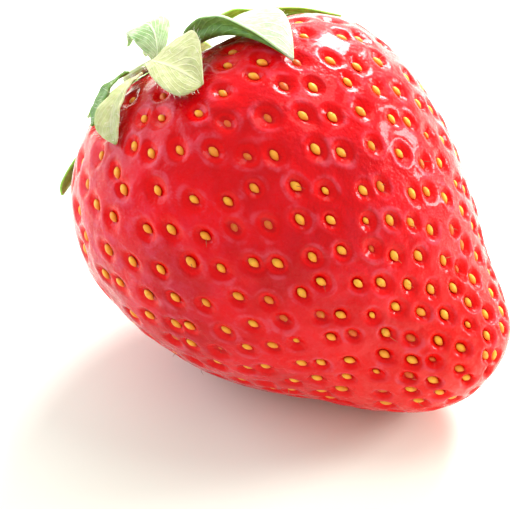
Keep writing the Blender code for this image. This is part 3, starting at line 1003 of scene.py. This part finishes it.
def leaf_material(name, dark, pale, roughness):
    """Leaf green with a pale midrib, veins and edges, on the leaf's own map."""
    made, nodes, links, shader, place = new_material(name, LEAF_FINISH | {"Roughness": roughness})
    leaf_map = nodes.new("ShaderNodeUVMap")
    leaf_map.uv_map = "leaf"
    split = nodes.new("ShaderNodeSeparateXYZ")
    links.new(leaf_map.outputs["UV"], split.inputs["Vector"])
    centred = math_node(nodes, links, "SUBTRACT", split.outputs["Y"], 0.5)
    aside = math_node(nodes, links, "ABSOLUTE", centred)
    ribs = leaf_ribs(nodes, links, place, split.outputs["X"], aside)
    relief = math_node(nodes, links, "MULTIPLY", ribs, RIB_RELIEF)
    patches = add_grain(nodes, links, shader, place, LEAF_GRAIN, relief)
    middling = tuple((one + other) / 2 for one, other in zip(dark, pale))
    green = blend(nodes, links, remap(nodes, links, patches, *GREEN_SPAN), dark, middling)
    green = blend(nodes, links, remap(nodes, links, ribs, *RIB_SPAN), green, pale)
    green = blend(nodes, links, remap(nodes, links, aside, *EDGE_SPAN), green, pale)
    links.new(green, shader.inputs["Base Color"])
    return made


def floor_material():
    """Pale floor with faint clouds in two tones."""
    made, nodes, links, shader, place = new_material("pale_floor", FLOOR_FINISH)
    cloud = nodes.new("ShaderNodeTexNoise")
    cloud.inputs["Scale"].default_value = 40
    links.new(place, cloud.inputs["Vector"])
    tones = nodes.new("ShaderNodeValToRGB")
    for stop, color in zip(tones.color_ramp.elements, FLOOR_TONES):
        stop.color = (*color, 1)
    links.new(cloud.outputs["Fac"], tones.inputs["Fac"])
    links.new(tones.outputs["Color"], shader.inputs["Base Color"])
    return made


# --- Stage ---------------------------------------------------------------------------------------

def camera_axes():
    """The camera's right, up and back."""
    flat = Vector((math.cos(CAMERA_TURN), math.sin(CAMERA_TURN), 0))
    back = flat * math.cos(CAMERA_RISE) + Vector((0, 0, math.sin(CAMERA_RISE)))
    right = Vector((-flat.y, flat.x, 0))
    return right, back.cross(right), back


def add_camera():
    right, up, back = camera_axes()
    stalk_end = Vector(to_world((0, 0, 0)))
    middle = stalk_end + right * AIM_RIGHT - up * AIM_DOWN
    lens = bpy.data.cameras.new("camera")
    lens.sensor_width = SENSOR_WIDTH
    lens.lens = SENSOR_WIDTH * CAMERA_DISTANCE / VIEW_WIDTH
    lens.clip_start = 0.01
    camera = bpy.data.objects.new("camera", lens)
    camera.location = middle + back * CAMERA_DISTANCE
    camera.rotation_euler = Matrix((right, up, back)).transposed().to_euler()
    bpy.context.scene.collection.objects.link(camera)
    bpy.context.scene.camera = camera


def add_light(name, place, width, power, color):
    """A round soft light that looks at the berry's middle."""
    right_mm, away_mm, up_mm = place
    right = camera_axes()[0]
    away = Vector((-math.cos(CAMERA_TURN), -math.sin(CAMERA_TURN), 0))
    middle = Vector(LIT_MIDDLE)
    data = bpy.data.lights.new(name, "AREA")
    data.shape = "DISK"
    data.size = width
    data.energy = power
    data.color = color
    light = bpy.data.objects.new(name, data)
    light.location = middle + (right * right_mm + away * away_mm + Vector((0, 0, up_mm))) * MM
    light.rotation_euler = (middle - light.location).to_track_quat("-Z", "Y").to_euler()
    bpy.context.scene.collection.objects.link(light)


def add_floor():
    form = bmesh.new()
    bmesh.ops.create_grid(form, x_segments=2, y_segments=2, size=FLOOR_HALF_WIDTH)
    mesh = bpy.data.meshes.new("floor")
    form.to_mesh(mesh)
    form.free()
    mesh.materials.append(floor_material())
    floor = bpy.data.objects.new("floor", mesh)
    bpy.context.scene.collection.objects.link(floor)


def add_sky():
    world = bpy.data.worlds.new("world")
    world.use_nodes = True
    sky = world.node_tree.nodes["Background"]
    sky.inputs["Color"].default_value = (*SKY_COLOR, 1)
    sky.inputs["Strength"].default_value = SKY_STRENGTH
    bpy.context.scene.world = world


FINE_GRAIN = fine_grain_group()
add_camera()
add_floor()
add_sky()
for light in LIGHTS:
    add_light(*light)
bpy.context.scene.view_settings.view_transform = "Standard"
add_berry(skin_material())
add_seeds(seed_material())
add_styles(patchy_material("dry_brown_thread", *STYLE_BROWNS, THREAD_GRAIN))
add_cap()
add_hairs(patchy_material("pale_leaf_hair", *HAIR_TONES, THREAD_GRAIN))
